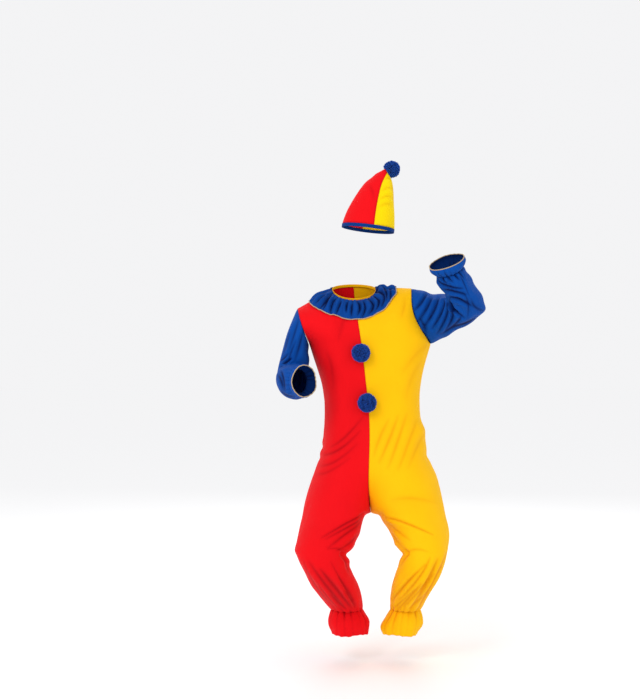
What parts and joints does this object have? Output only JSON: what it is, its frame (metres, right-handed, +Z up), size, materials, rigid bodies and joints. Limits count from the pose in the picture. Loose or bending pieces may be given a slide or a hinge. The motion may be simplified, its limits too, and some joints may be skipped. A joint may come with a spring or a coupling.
{
  "type": "clown jumpsuit with pointed hat",
  "caption": "Two-colour clown jumpsuit, red and yellow, with blue sleeves, gathered frills and pompoms, and its pointed hat, hollow as worn.",
  "frame": {"origin": "middle of the neck opening, where the wearer's neck and shoulders hold the garment", "axes": "+Z up, the front to -Y, the wearer's left to +X"},
  "size_m": [0.7102, 0.4688, 1.6413],
  "materials": {
    "red_cloth": "soft satin-faced polyester knit",
    "yellow_cloth": "soft satin-faced polyester knit",
    "hat_yellow_cloth": "soft satin-faced polyester knit",
    "blue_cloth": "soft satin-faced polyester knit",
    "pompom_yarn": "matt cut yarn"
  },
  "bodies": {
    "root": {"front_right": "red_cloth", "front_left": "yellow_cloth", "back_right": "red_cloth", "back_left": "yellow_cloth", "sleeve_right": "blue_cloth", "sleeve_left": "blue_cloth", "cuff_ruffle_right": "blue_cloth", "cuff_ruffle_left": "blue_cloth", "collar_ruffle": "blue_cloth", "neck_binding": "yellow_cloth", "back_placket": "yellow_cloth", "ankle_ruffle_right": "red_cloth", "ankle_ruffle_left": "yellow_cloth", "pompom_upper": "pompom_yarn", "pompom_lower": "pompom_yarn", "hat_right": "red_cloth", "hat_left": "hat_yellow_cloth", "hat_binding": "blue_cloth", "hat_pompom": "pompom_yarn"}
  },
  "joints": []
}
